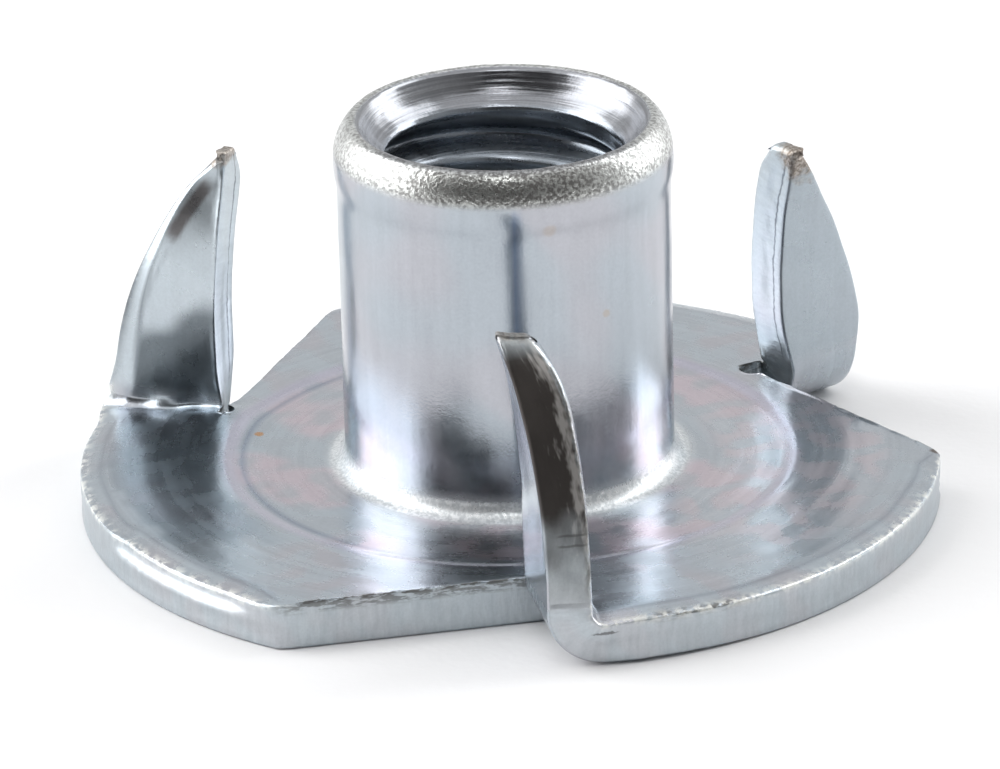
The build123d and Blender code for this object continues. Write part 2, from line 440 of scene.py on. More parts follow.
    for i, s in enumerate((0.12, 0.24, 0.36, 0.48, 0.60, 0.72, 0.84)):
        d = h_top + (T - h_top - h_bot) * s
        rough = line_noise(run, total, 0.22, 40 + i) * 0.5 + line_noise(run, total, 0.5, 60 + i)
        torn = smooth(0.30 + 0.12 * tear, 0.44 + 0.12 * tear, s)
        inset = torn * (0.018 + 0.012 * rough) * (1 - 0.5 * tipw)
        inset = inset + 0.11 * ledge * (1 - smooth(0.30, 0.46, d))
        prof.append((inset, d, torn))
    for q in np.radians([0, 30, 60, 90]):
        prof.append((w_bot * (1 - math.cos(q)), T - h_bot * (1 - math.sin(q)),
                     np.full(L, 0.6 * (q < 1.2))))
    K = len(prof)
    band = np.zeros((K, L), int)
    for r, (a, d, cm) in enumerate(prof):
        a = np.broadcast_to(a, (L,)); d = np.broadcast_to(d, (L,))
        P = np.zeros((L, 3))
        fl = kind < 0
        q = loc[fl] + inw[fl] * a[fl, None]
        P[fl] = flange_point(q[:, 0], q[:, 1], d[fl])
        for k, tab in enumerate(TABS):
            s = kind == k
            dn = (inw[s] @ tab.n) * a[s]
            dv = -(inw[s] @ tab.u) * a[s]
            P[s] = tab.point(loc[s, 0] + dn, loc[s, 1] + dv, d[s])
        tabv = np.where(kind >= 0, (kind + 1) / 3.0, 0.0)
        band[r] = add(P, cut=cm, depth=d / T, tab=tabv, high=np.where(kind >= 0, P[:, 2], 0),
                      loop=run, arc=arcness, wall=1.0 if 7 <= r <= 16 else 0.0,
                      brim=(0, 0, 0, 0.1, 0.45, 0.9, 1, 1, 0.5)[r] if r < 9 else 0.0,
                      band=(0.6, 1, 0, 0, 0, 0, 0, 0, 0)[r] if r < 9 else 0.0)
    for r in range(K - 1):
        quads(band[r], band[r + 1], band[r + 1][nxt_i], band[r][nxt_i])

    # ---- tabs' two faces --------------------------------------------------------
    hinge_top, hinge_bot = [], []
    for k, ids in enumerate(where):
        tab = TABS[k]
        rows = ids["rows"]; NR = len(rows) - 1
        inner_i = np.arange(ids["in"], ids["in"] + NR + 1)
        tip_i = np.arange(ids["tip"], ids["tip"] + NC)
        outer_i = np.arange(ids["out"], ids["out"] + NR + 1)[::-1]
        tip_i = np.concatenate([tip_i, [outer_i[-1]]])
        for side, r, dep in (("t", 0, 0.0), ("b", K - 1, T)):
            a = prof[r][0] if np.ndim(prof[r][0]) else np.full(L, prof[r][0])
            g = np.zeros((NR + 1, NC + 1), int)
            g[:, 0] = band[r][inner_i]; g[:, NC] = band[r][outer_i]; g[NR, :] = band[r][tip_i]
            na = loc[inner_i, 0] + (inw[inner_i] @ tab.n) * a[inner_i]
            nb = loc[outer_i, 0] + (inw[outer_i] @ tab.n) * a[outer_i]
            va = loc[inner_i, 1] - (inw[inner_i] @ tab.u) * a[inner_i]
            vb = loc[outer_i, 1] - (inw[outer_i] @ tab.u) * a[outer_i]
            s = np.linspace(0, 1, NC + 1)[1:-1]
            n = na[:NR, None] * (1 - s) + nb[:NR, None] * s
            v = va[:NR, None] * (1 - s) + vb[:NR, None] * s
            v[0] = 0.0
            P = tab.point(n.ravel(), v.ravel(), np.full(n.size, dep))
            fade = smooth(0.2, 1.2, v.ravel())
            P = P + (tab.u[0] * 0.006, tab.u[1] * 0.006, 0) * (wave_noise(P, 1.6, tab.seed) * fade)[:, None]
            new = add(P, tab=(k + 1) / 3.0, high=P[:, 2], depth=dep / T)
            g[:NR, 1:NC] = new.reshape(NR, NC - 1)
            A, B, C, D = g[:-1, :-1], g[1:, :-1], g[1:, 1:], g[:-1, 1:]
            if side == "t":
                quads(A, B, C, D)
                hinge_top.append(g[0])
            else:
                quads(D, C, B, A)
                hinge_bot.append(g[0])

    # ---- barrel: rings up the outside, over the lip and into the countersink ----
    th = np.arange(NT) * 2 * math.pi / NT
    cs, sn = np.cos(th), np.sin(th)

    def ring(r, z, **kw):
        r = np.broadcast_to(r, (NT,)); z = np.broadcast_to(z, (NT,))
        return add(np.stack([r * cs, r * sn, z], 1), **kw)

    def bez(a, b, c, d, n):
        t = np.linspace(0, 1, n + 1)[1:, None]
        a, b, c, d = map(np.array, (a, b, c, d))
        return a * (1 - t) ** 3 + 3 * b * t * (1 - t) ** 2 + 3 * c * t * t * (1 - t) + d * t ** 3

    z_land = T - STEP_H
    lip = RB + 0.07
    path = []
    for g in np.radians(np.linspace(0, 90, 8)):
        path.append((RB + 0.40 - 0.40 * math.sin(g), z_land + 0.40 - 0.40 * math.cos(g)))
    for z in np.linspace(z_land + 0.40, H - 1.62, 30)[1:]:
        path.append((RB, z))
    path += [tuple(q) for q in bez((RB, H - 1.62), (RB, H - 1.35), (lip, H - 1.28), (lip, H - 0.98), 7)]
    # round the lip: (angle of its normal over the horizon, radius) from the crest out
    crest = 3.284
    turn_out, r, z = [], crest, H
    for a0, a1, rad, m in ((90, 42, 0.20, 7), (42, 10, 1.10, 10), (10, 0, 1.44, 3)):
        for g in np.radians(np.linspace(a0, a1, m + 1)[1:]):
            b = math.radians(a0)
            turn_out.append((r + rad * (math.cos(g) - math.cos(b)), z - rad * (math.sin(b) - math.sin(g))))
        r, z = turn_out[-1]
    path += turn_out[::-1] + [(crest, H)]
    for g in np.radians(np.linspace(90, 31, 8)[1:]):
        path.append((crest - 0.20 * math.cos(g), H - 0.20 + 0.20 * math.sin(g)))
    r, z = path[-1]
    for g in np.linspace(0, 1, 5)[1:]:
        path.append((r - (r - 2.945) * g, z - (z - (H - 0.40)) * g))
    rings = []
    for i, (r, z) in enumerate(path):
        rr = np.full(NT, r)
        P = np.stack([cs * r, sn * r, np.full(NT, z)], 1)
        if i == 0:
            z = flange_top(r * cs, r * sn)
        else:
            rr = rr + 0.0035 * wave_noise(P, 2.3, 71) * smooth(1.5, 2.5, z)
        mouth = float(smooth(H - 0.25, H - 0.02, z)) if np.ndim(z) == 0 else 0.0
        if mouth:
            z = z + 0.004 * mouth * wave_noise(P, 0.55, 72)
            rr = rr + 0.003 * mouth * wave_noise(P, 0.45, 73)
        rings.append(ring(rr, z))
    nx = (np.arange(NT) + 1) % NT
    for a, b in zip(rings[:-1], rings[1:]):
        quads(a, a[nx], b[nx], b)

    # ---- bore: rows that follow the helix ---------------------------------------
    sink = 0.76
    z_hi, z_lo = H - 0.40, 0.075

    def base_r(z):
        cone = np.interp(z, (H - sink, H - sink + 0.05, H - sink + 0.10, H - 0.50, H - 0.40),
                         (BORE, BORE + 0.075, 2.695, 2.870, 2.945))
        draw = BORE + DRAW - np.sqrt(np.clip(DRAW ** 2 - (DRAW - z) ** 2, 0, None))
        return np.maximum(np.where(z > H - sink, cone, BORE), np.where(z < DRAW, draw, BORE))

    def thread_r(theta, z):
        zg = 7.46 + PITCH * (np.degrees(theta) - 90) / 360
        w = (z - zg + PITCH / 2) % PITCH - PITCH / 2
        r = BORE + 0.58 * (0.5 + 0.5 * np.cos(2 * math.pi * w / PITCH)) ** 1.15   # rolled soft
        r = r - (MAJOR - BORE) * smooth(H - 1.0, H - 0.52, z)     # runs out at the mouth
        return np.maximum(r, BORE)

    prof_w = np.array([-0.635, -0.54, -0.465, -0.44, -0.415, -0.33, -0.24, -0.15, -0.085, -0.04,
                       0.04, 0.085, 0.15, 0.24, 0.33, 0.415, 0.44, 0.465, 0.54])
    M = len(prof_w)
    z_base = 7.46 - PITCH * 90 / 360         # groove centre at theta 0
    k_lo = int(math.floor((z_lo - z_base) / PITCH)) - 2
    k_hi = int(math.ceil((z_hi - z_base) / PITCH)) + 1
    lev = np.concatenate([z_base + k * PITCH + prof_w for k in range(k_lo, k_hi + 1)])
    KR = len(lev)
    top, = rings[-1:]
    low = ring(base_r(np.array(z_lo)), z_lo, bore=1.0)
    Z = lev[None, :] + PITCH * th[:, None] / (2 * math.pi)
    TH = np.broadcast_to(th[:, None], Z.shape)
    inside = (Z < z_hi - 0.015) & (Z > z_lo + 0.015)
    rr = np.maximum(base_r(Z), thread_r(TH, Z))
    # soften the crest and the run-out a little
    a_, b_ = base_r(Z), thread_r(TH, Z)
    kq = 0.06
    hq = np.clip(0.5 + 0.5 * (a_ - b_) / kq, 0, 1)
    rr = b_ * (1 - hq) + a_ * hq + kq * hq * (1 - hq)
    Pz = np.stack([np.cos(TH) * rr, np.sin(TH) * rr, Z], -1)
    rr = rr + 0.006 * wave_noise(Pz, 0.8, 81)
    gid = np.zeros((NT, KR), int)
    gid[Z >= z_hi - 0.015] = -1
    gid[Z <= z_lo + 0.015] = -2
    sel = inside
    ids_in = add(np.stack([np.cos(TH[sel]) * rr[sel], np.sin(TH[sel]) * rr[sel], Z[sel]], 1), bore=1.0)
    gid[sel] = ids_in
    for j in range(NT):
        gid[j][gid[j] == -1] = top[j]
        gid[j][gid[j] == -2] = low[j]
    nxt_g = np.empty_like(gid)
    nxt_g[:-1] = gid[1:]
    nxt_g[-1, :KR - M] = gid[0, M:]
    nxt_g[-1, KR - M:] = top[0]
    quads(gid[:, :-1], gid[:, 1:], nxt_g[:, 1:], nxt_g[:, :-1])

    # ---- entry radius underneath ---------------------------------------------------
    under = [low]
    for z in (0.030, 0.008, 0.0):
        r = BORE + DRAW - math.sqrt(max(0.0, DRAW ** 2 - (DRAW - z) ** 2))
        under.append(ring(r, flange_bottom(r * cs, r * sn) + z))
    for a, b in zip(under[:-1], under[1:]):
        quads(a, a[nx], b[nx], b)

    # ---- flange faces: a triangulated plane with rings of points --------------------
    def face(row, hinges, hole_ids, hole_r, side, rings_r, gap):
        outer = []                          # ids in order, with the hinge lines
        for k, ids in enumerate(where):
            outer += list(band[row][ids["corner"]:ids["in"]])
            outer += list(hinges[k])
            outer += list(band[row][ids["lobe"]:ids["end"]])
        allv = np.concatenate(V)
        poly = allv[outer][:, :2]
        hole = allv[hole_ids][:, :2]
        pts = []
        for i, r in enumerate(rings_r):
            m = int(round(2 * math.pi * r / gap))
            g = (np.arange(m) + 0.5 * (i % 2)) * 2 * math.pi / m
            pts.append(np.stack([r * np.cos(g), r * np.sin(g)], 1))
        pts = np.concatenate(pts)

        def inside_poly(q):
            x, y = q[:, 0], q[:, 1]
            odd = np.zeros(len(q), bool)
            a, b = poly, np.roll(poly, -1, 0)
            for (x1, y1), (x2, y2) in zip(a, b):
                if y1 == y2:
                    continue
                odd ^= ((y1 > y) != (y2 > y)) & (x < (x2 - x1) * (y - y1) / (y2 - y1) + x1)
            return odd

        keep = inside_poly(pts)
        far = np.full(len(pts), 1e9)
        for q in poly:
            far = np.minimum(far, np.hypot(pts[:, 0] - q[0], pts[:, 1] - q[1]))
        keep &= (far > 0.55 * gap)
        pts = pts[keep]
        if side == "t":
            z = flange_top(pts[:, 0], pts[:, 1])
        else:
            z = flange_bottom(pts[:, 0], pts[:, 1])
        new = add(np.column_stack([pts, z]), depth=0.0 if side == "t" else 1.0)
        ids = np.concatenate([np.array(outer), np.array(hole_ids), new])
        xy = np.concatenate([poly, hole, pts])
        no, nh = len(outer), len(hole_ids)
        edges = [(i, (i + 1) % no) for i in range(no)]
        edges += [(no + i, no + (i + 1) % nh) for i in range(nh)]
        out = delaunay_2d_cdt([Vector((float(a), float(b))) for a, b in xy], edges, [], 0, 1e-7)
        tri = np.array([f for f in out[2] if len(f) == 3])
        orig = np.array([o[0] if len(o) else -1 for o in out[3]])
        tri = orig[tri]
        c = xy[tri].mean(1)
        ok = inside_poly(c) & (np.hypot(c[:, 0], c[:, 1]) > hole_r * math.cos(math.pi / NT) - 1e-6)
        tri = ids[tri[ok]]
        # a hole's first ring can't be cut into: drop what lies within it
        P = allv if len(allv) == count else np.concatenate(V)
        a, b, c = P[tri[:, 0]], P[tri[:, 1]], P[tri[:, 2]]
        area = (b[:, 0] - a[:, 0]) * (c[:, 1] - a[:, 1]) - (b[:, 1] - a[:, 1]) * (c[:, 0] - a[:, 0])
        tri[area < 0] = tri[area < 0][:, ::-1]
        if side == "b":
            tri = tri[:, ::-1]
        F.append(tri)

    r0 = RB + 0.40
    fine = list(np.arange(r0 + 0.14, LAND - 0.05, 0.16)) + \
        list(np.linspace(LAND, LAND + STEP_W, 6)) + list(np.arange(LAND + STEP_W + 0.13, R - 0.1, 0.15))
    face(0, hinge_top, rings[0], r0, "t", fine, 0.16)
    face(K - 1, hinge_bot, under[-1], BORE + DRAW, "b",
         list(np.arange(BORE + DRAW + 0.3, R - 0.1, 0.32)), 0.34)

    V = np.concatenate(V)
    F = np.concatenate(F)
    att = {k: np.concatenate(v) for k, v in att.items()}
    return V, F, att


V, F, ATT = build()

mesh = bpy.data.meshes.new("tee_nut_skin")
mesh.from_pydata((V * 0.001).tolist(), [], F.tolist())
mesh.update()
mesh.polygons.foreach_set("use_smooth", np.ones(len(F), bool))

# ---- how each place was worked, set down per point of the skin --------------------
x_, y_, z_ = V.T
r_, th_ = np.hypot(x_, y_), np.arctan2(y_, x_)
big, mid, dep, hi_z, wall_, arc_, brim_ = (ATT[k] for k in ("cloud", "patch", "depth", "high", "wall", "arc", "brim"))
on_tab = smooth(1.35, 1.7, hi_z)
which = np.round(ATT["tab"] * 3).astype(int)
right_p, left_p, front_p = ((which == k) * on_tab for k in (1, 2, 3))
inside = (ATT["bore"] > 0.5).astype(float)
cutwall, arcwall = wall_ * (1 - arc_), wall_ * arc_


def band_of(v, a, b, soft):
    return smooth(a - soft, a + soft, v) * (1 - smooth(b - soft, b + soft, v))


barrel = smooth(1.30, 1.55, z_) * (r_ < 4.2) * (1 - inside)
rim = smooth(8.14, 8.36, z_) * smooth(3.16, 3.26, r_) * (r_ < 4.45)
funnel = smooth(8.18, 8.24, z_) * (1 - smooth(3.15, 3.27, r_))
foot = (1 - smooth(3.92, 4.12, r_)) * (1 - smooth(1.28, 1.50, z_)) * (1 - inside) * (z_ > 0.5)
flange = (1 - on_tab) * (1 - smooth(1.3, 1.5, z_)) * smooth(3.8, 4.1, r_)
annulus = flange * (1 - smooth(6.0, 6.45, r_))
inner = inside * (1 - smooth(8.18, 8.26, z_))
prongs = np.maximum(right_p, left_p)


def tinted(c, f, to):
    return c + (np.asarray(to, float) - c) * np.clip(f, 0, 1)[:, None]


# colour: blue-grey zinc, drifting to lavender and rose on the flange and to cyan on the lobes
c_ = np.tile((0.525, 0.575, 0.625), (len(V), 1))
c_ = tinted(c_, smooth(0.38, 0.62, big), (0.560, 0.570, 0.615))
c_ = tinted(c_, 0.8 * flange * smooth(0.35, 0.65, mid), (0.545, 0.610, 0.665))
rose = annulus * smooth(0.30, 0.58, big) * smooth(0.25, 0.62, mid)
c_ = tinted(c_, 0.9 * rose, (0.690, 0.600, 0.655))
east = flange * band_of(th_, -0.85, 0.45, 0.2) * band_of(r_, 4.6, 8.3, 0.4)
c_ = tinted(c_, 0.75 * east * smooth(0.40, 0.62, mid), (0.70, 0.625, 0.665))
c_ = tinted(c_, 0.55 * east * (1 - smooth(0.30, 0.48, mid)), (0.66, 0.69, 0.74))
c_ = tinted(c_, 0.75 * flange * band_of(r_, 6.08, 6.40, 0.08), (0.610, 0.600, 0.710))
# painted shade: a darker line in the crease where the step begins; painted reflection: the lobe at the left darker
# where it mirrors the left prong
crease_painted_shade = flange * band_of(r_ + 0.03 * (mid - 0.5), 5.86, 6.00, 0.08) \
    * (0.15 + 0.85 * (1 - smooth(0.5, 1.1, np.abs(np.abs(th_) - 2.9))))
c_ = tinted(c_, 0.70 * crease_painted_shade, (0.24, 0.29, 0.39))
# painted reflection: the left lobe darker where it mirrors the left prong
lobe_painted_reflection = flange * band_of(r_ + 0.5 * (mid - 0.5), 6.50, 8.85, 0.16) * (1 - smooth(-5.9, -4.6, x_)) \
    * band_of(y_ + 1.2 * (mid - 0.5), -4.6, 2.6, 0.5)
c_ = tinted(c_, 0.52 * lobe_painted_reflection, (0.25, 0.31, 0.37))
c_ = tinted(c_, 0.40 * ATT["band"] * arc_, (0.24, 0.28, 0.34))
# painted shade on the right prong's faces and painted light on the left prong's faces, for how each prong catches the
# light
c_ = tinted(c_, 0.85 * right_p, (0.490, 0.555, 0.605))
c_ = tinted(c_, 0.85 * left_p, (0.66, 0.735, 0.785))
c_ = c_ * ZINC
# the left prong: a painted dark reflection at the foot of its sheared side, a brown painted dark reflection in a band
# below its tip, painted shade along its rolled round edge, and a thin darker line on its face near the edge
t1 = TABS[1]
n1_ = x_ * t1.n[0] + y_ * t1.n[1]
from_edge = np.sqrt(np.clip(t1.foot ** 2 - np.clip(z_ - t1.p["arc"], 0, None) ** 2, 0.01, None)) - n1_
foot_painted_reflection = left_p * (dep < 0.5) * (wall_ < 0.5) * smooth(0.45, 0.62, from_edge) \
    * (1 - smooth(2.55, 3.25, z_ - 0.75 * smooth(0.6, 2.0, from_edge) + 0.5 * (mid - 0.5)))
c_ = tinted(c_, 0.80 * foot_painted_reflection, (0.10, 0.12, 0.135))
# painted reflection: a dark brown band below the left prong's tip
tip_band_painted_reflection = left_p * (dep < 0.5) * (wall_ < 0.5) * band_of(from_edge, 0.26, 0.62, 0.07) * band_of(z_ + 0.5 * (mid - 0.5), 5.35, 6.65, 0.15)
c_ = tinted(c_, 0.78 * tip_band_painted_reflection, (0.115, 0.090, 0.085))
# painted shade: the left prong's rolled round edge darker
c_ = tinted(c_, 0.85 * left_p * arc_ * np.maximum(brim_, 0.75 * ATT["band"]) * smooth(2.2, 3.6, hi_z), (0.12, 0.135, 0.15))
c_ = tinted(c_, 0.50 * left_p * arc_ * brim_, (0.12, 0.135, 0.15))
c_ = tinted(c_, 0.35 * left_p * (dep < 0.5) * (wall_ < 0.5) * band_of(from_edge, 0.50, 0.56, 0.05) * (1 - smooth(4.6, 5.4, z_)), (0.16, 0.18, 0.21))
# a painted dark blue reflection down the front of the barrel, and painted shade on the inside of its lip in front
c_ = tinted(c_, 0.62 * barrel * np.exp(-((th_ + 1.511) / 0.021) ** 2) * band_of(z_, 4.9, 8.1, 0.25), (0.14, 0.21, 0.36))

lo, hi = c_ * 0.94, c_ * 1.06
f_ = 0.8 * flange[:, None]
lo, hi = lo * (1 + f_ * (np.array((0.91, 0.91, 0.92)) - 1)), hi * (1 + f_ * (np.array((1.09, 1.09, 1.08)) - 1))
f_ = 0.7 * barrel[:, None]
lo, hi = lo * (1 - 0.06 * f_), hi * (1 + 0.06 * f_)
lip_in = rim * (1 - smooth(3.30, 3.50, r_)) * (1 - smooth(0.8, 1.25, np.abs(th_ + 1.57)))
for f_, a_, b_ in (
        (0.88 * rim, (0.30, 0.30, 0.29), (0.72, 0.74, 0.72)),
        # painted dark reflection across the front of the lip
        (0.80 * rim * (1 - smooth(0.35, 0.85, np.abs(th_ + 1.57))), (0.13, 0.125, 0.12), (0.52, 0.53, 0.51)),
        # painted shade on the inside of the lip in front
        (0.85 * lip_in, (0.16, 0.16, 0.17), (0.30, 0.31, 0.33)),
        # painted highlight: the fillet at the barrel's foot lighter
        (0.75 * foot, (0.46, 0.49, 0.50), (0.88, 0.90, 0.90)),
        # painted shade in the countersink
        (0.92 * funnel, (0.10, 0.105, 0.12), (0.40, 0.41, 0.43)),
        (0.85 * inner, (0.20, 0.23, 0.27), (0.38, 0.42, 0.46)),
        (0.55 * cutwall, (0.34, 0.38, 0.41), (0.62, 0.67, 0.68)),
        (0.45 * arcwall, (0.36, 0.40, 0.42), (0.60, 0.64, 0.65)),
        (0.65 * front_p * arcwall, (0.22, 0.24, 0.25), (0.40, 0.43, 0.44))):
    lo, hi = tinted(lo, f_, a_), tinted(hi, f_, b_)

# roughness at the two ends of the local pattern, and whether that pattern is a stipple
ra = 0.14 + 0.10 * mid + 0.0 * r_
rb_ = ra + 0.04
ra, rb_ = ra + 0.03 * flange + 0.08 * prongs, rb_ + 0.09 * flange + 0.08 * prongs
stip_ = np.maximum(rim, 0.7 * foot)
for f_, a_, b_ in ((stip_, 0.46, 0.27), (funnel, 0.18, 0.30), (inner, 0.22, 0.34), (wall_, 0.30, 0.46)):
    ra, rb_ = ra + f_ * (a_ - ra), rb_ + f_ * (b_ - rb_)

# relief of the fine, stippled and layered patterns, in millimetres
amp = np.stack([0.0018 + 0.016 * brim_, 0.012 * rim + 0.004 * foot,
                0.0018 * flange + 0.0018 * barrel + 0.012 * funnel + 0.007 * inner + 0.011 * wall_], 1)

# the direction in which the layered pattern runs
loop_ = ATT["loop"]
way_ = np.stack([x_ * 4.4, y_ * 4.4, z_ * 0.35], 1)                   # drawn up the barrel
turned = np.stack([x_ * 0.25, y_ * 0.25, z_ * 9.0 + r_ * 5.0], 1)      # turned in the mouth and bore
spun = np.stack([r_ * 6.0, np.cos(th_) * 1.3, np.sin(th_) * 1.3], 1)   # spun on the flange
torn = np.stack([loop_ * 7.0, dep * 1.3, 0 * r_], 1)
smear = np.stack([dep * 6.0, hi_z * 2.0, 1 + 0 * r_], 1)
way_[inside > 0.5] = turned[inside > 0.5]
way_[r_ > 4.0] = spun[r_ > 4.0]
way_[funnel > 0.5] = turned[funnel > 0.5]
way_[wall_ > 0.5] = torn[wall_ > 0.5]
s_ = (front_p * arcwall) > 0.5
way_[s_] = smear[s_]

# places for burrs with their painted dark reflection, beads with their painted highlight, black smears and brown tips,
# whose outlines the noises draw
burr_and_dark_reflection = np.maximum((1 - smooth(0.05, 0.17, np.abs(dep))) * (1 - arc_) * smooth(0.3, 0.8, brim_) * (1 - on_tab),
                  0.8 * cutwall * (1 - smooth(0.12, 0.26, dep)) * (1 - on_tab))
burr_and_dark_reflection = np.maximum(burr_and_dark_reflection, band_of(th_, -1.27, -1.02, 0.05) * brim_ * arc_ * (1 - on_tab))
burr_and_dark_reflection = np.maximum(burr_and_dark_reflection, 0.9 * front_p * arc_ * smooth(0.2, 0.7, brim_) * smooth(1.5, 1.9, hi_z) * (1 - smooth(6.2, 6.6, hi_z)))
smut = front_p * np.maximum(arcwall, arc_) * smooth(2.2, 3.5, hi_z + 1.2 * (mid - 0.5)) * (1 - smooth(6.35, 6.75, hi_z))
tip_z = np.where(which == 1, (hi_z + 1.1 * (dep - 0.9) - 6.15) / 0.30,
                 np.where(which == 2, (hi_z - 6.93) / 0.14, (hi_z - 6.72) / 0.12))
tip_w = 0.85 * right_p + 0.80 * left_p + 0.55 * front_p
frac_ = cutwall * on_tab

FLOATS = {"cut": ATT["cut"], "depth": dep, "stipple": stip_, "burr_and_dark_reflection": burr_and_dark_reflection, "smut": smut, "tip_z": tip_z,
          "tip_w": tip_w, "bead_highlight": brim_ * arc_ * (1 - 0.8 * front_p) * (1 - 0.9 * left_p), "split": frac_,
          "front_edge": front_p * arcwall, "matt": 0.42 * foot, "high": hi_z, "loop": loop_}
for key, val in FLOATS.items():
    a = mesh.attributes.new(key, "FLOAT", "POINT")
    a.data.foreach_set("value", np.asarray(val, float).astype(np.float32))
for key, val in {"lo": lo, "hi": hi, "way": way_, "amp": amp, "rough": np.stack([ra, rb_, 0 * ra], 1)}.items():
    a = mesh.attributes.new(key, "FLOAT_VECTOR", "POINT")
    a.data.foreach_set("vector", np.ascontiguousarray(val, dtype=np.float32).ravel())
nut = bpy.data.objects.new("tee_nut_skin", mesh)
bpy.context.scene.collection.objects.link(nut)
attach(nut, "root")
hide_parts("tee_nut")


# ---- materials ------------------------------------------------------------------
class Nodes:
    """Short names for building a node tree."""

    def __init__(self, tree):
        self.t = tree
        tree.nodes.clear()

    def put(self, kind, **props):
        n = self.t.nodes.new("ShaderNode" + kind)
        for k, v in props.items():
            setattr(n, k, v)
        return n

    def feed(self, socket, v):
        if isinstance(v, bpy.types.NodeSocket):
            self.t.links.new(v, socket)
        else:
            socket.default_value = v

    def math(self, op, *args, clamp=False):
        n = self.put("Math", operation=op, use_clamp=clamp)
        for i, v in enumerate(args):
            self.feed(n.inputs[i], v)
        return n.outputs[0]

    def add(self, *args):
        out = args[0]
        for v in args[1:]:
            out = self.math("ADD", out, v)
        return out

    def mul(self, *args):
        out = args[0]
        for v in args[1:]:
            out = self.math("MULTIPLY", out, v)
        return out

    def sub(self, a, b):
        return self.math("SUBTRACT", a, b)

    def vec(self, op, *args, value=False):
        n = self.put("VectorMath", operation=op)
        for i, v in enumerate(args):
            self.feed(n.inputs[i], v)
        return n.outputs[1 if value else 0]

    def scale(self, v, k):
        n = self.put("VectorMath", operation="SCALE")
        self.feed(n.inputs[0], v)
        self.feed(n.inputs[3], k)
        return n.outputs[0]

    def xyz(self, x, y, z):
        n = self.put("CombineXYZ")
        for i, v in enumerate((x, y, z)):
            self.feed(n.inputs[i], v)
        return n.outputs[0]

    def step(self, x, a, b, lo=0.0, hi=1.0):
        n = self.put("MapRange", interpolation_type="SMOOTHSTEP")
        for key, v in (("Value", x), ("From Min", a), ("From Max", b), ("To Min", lo), ("To Max", hi)):
            self.feed(n.inputs[key], v)
        return n.outputs[0]

    def window(self, x, a, b, soft):
        return self.mul(self.step(x, a - soft, a + soft), self.step(x, b - soft, b + soft, 1.0, 0.0))

    def noise(self, vec, scale, detail=2.0, rough=0.5, distort=0.0):
        n = self.put("TexNoise")
        for key, v in (("Vector", vec), ("Scale", scale), ("Detail", detail), ("Roughness", rough),
                       ("Distortion", distort)):
            self.feed(n.inputs[key], v)
        return n.outputs[0]

    def cells(self, vec, scale, out="Distance"):
        n = self.put("TexVoronoi")
        self.feed(n.inputs["Vector"], vec)
        self.feed(n.inputs["Scale"], scale)
        return n.outputs[out]

    def mix(self, f, a, b, mode="MIX"):
        n = self.put("Mix", data_type="RGBA", blend_type=mode)
        self.feed(n.inputs[0], f)
        self.feed(n.inputs[6], a)
        self.feed(n.inputs[7], b)
        return n.outputs[2]

    def blend(self, f, a, b):
        n = self.put("Mix", data_type="FLOAT")
        self.feed(n.inputs[0], f)
        self.feed(n.inputs[2], a)
        self.feed(n.inputs[3], b)
        return n.outputs[0]

    def attr(self, name):
        return self.put("Attribute", attribute_name=name).outputs["Fac"]


def rgb(r, g, b):
    return (r, g, b, 1.0)


mat = bpy.data.materials.new("zinc_plate_bright")
mat.use_nodes = True
N = Nodes(mat.node_tree)
P = N.scale(N.put("TexCoord").outputs["Object"], 1000.0)          # millimetres
depth, high, loop = N.attr("depth"), N.attr("high"), N.attr("loop")


def vattr(name):
    return N.put("Attribute", attribute_name=name).outputs["Vector"]


def parts_of(v):
    n = N.put("SeparateXYZ")
    N.feed(n.inputs[0], v)
    return n.outputs


n_fine = N.noise(P, 5.0, 2.0, 0.6)
n_grain = N.noise(P, 17.0, 1.0, 0.6)
n_spot = N.noise(P, 12.0, 1.0, 0.65)
lay = N.noise(vattr("way"), 1.0, 2.0, 0.6)
stip = N.step(n_spot, 0.36, 0.66)
local = N.blend(N.attr("stipple"), lay, stip)
col = N.mix(local, vattr("lo"), vattr("hi"))
col = N.scale(col, N.add(0.87, N.mul(n_grain, 0.16), N.mul(n_fine, 0.10)))

# the torn line along each prong's sheared edge
frac = N.mul(N.attr("split"), N.window(N.add(depth, N.mul(N.sub(n_fine, 0.5), 0.10)), 0.70, 0.745, 0.018))
col = N.mix(N.mul(frac, 0.75), col, rgb(0.09, 0.10, 0.12))
# burrs: rough, and dark with a painted reflection in patches, worn bright between
burr_n = N.noise(N.xyz(N.mul(loop, 2.2), N.mul(depth, 9.0), 5.0), 1.0, 3.0, 0.7)
burr = N.mul(N.attr("burr_and_dark_reflection"), N.step(burr_n, 0.42, 0.55))
col = N.mix(N.mul(burr, 0.85), col, rgb(0.11, 0.105, 0.095))
# beads and nicks along the rolled edge; the beads' light colour is partly wear, partly a painted highlight
bead_highlight = N.mul(N.attr("bead_highlight"), N.step(n_fine, 0.42, 0.62))
col = N.mix(N.mul(bead_highlight, 0.75), col, rgb(0.80, 0.81, 0.77))
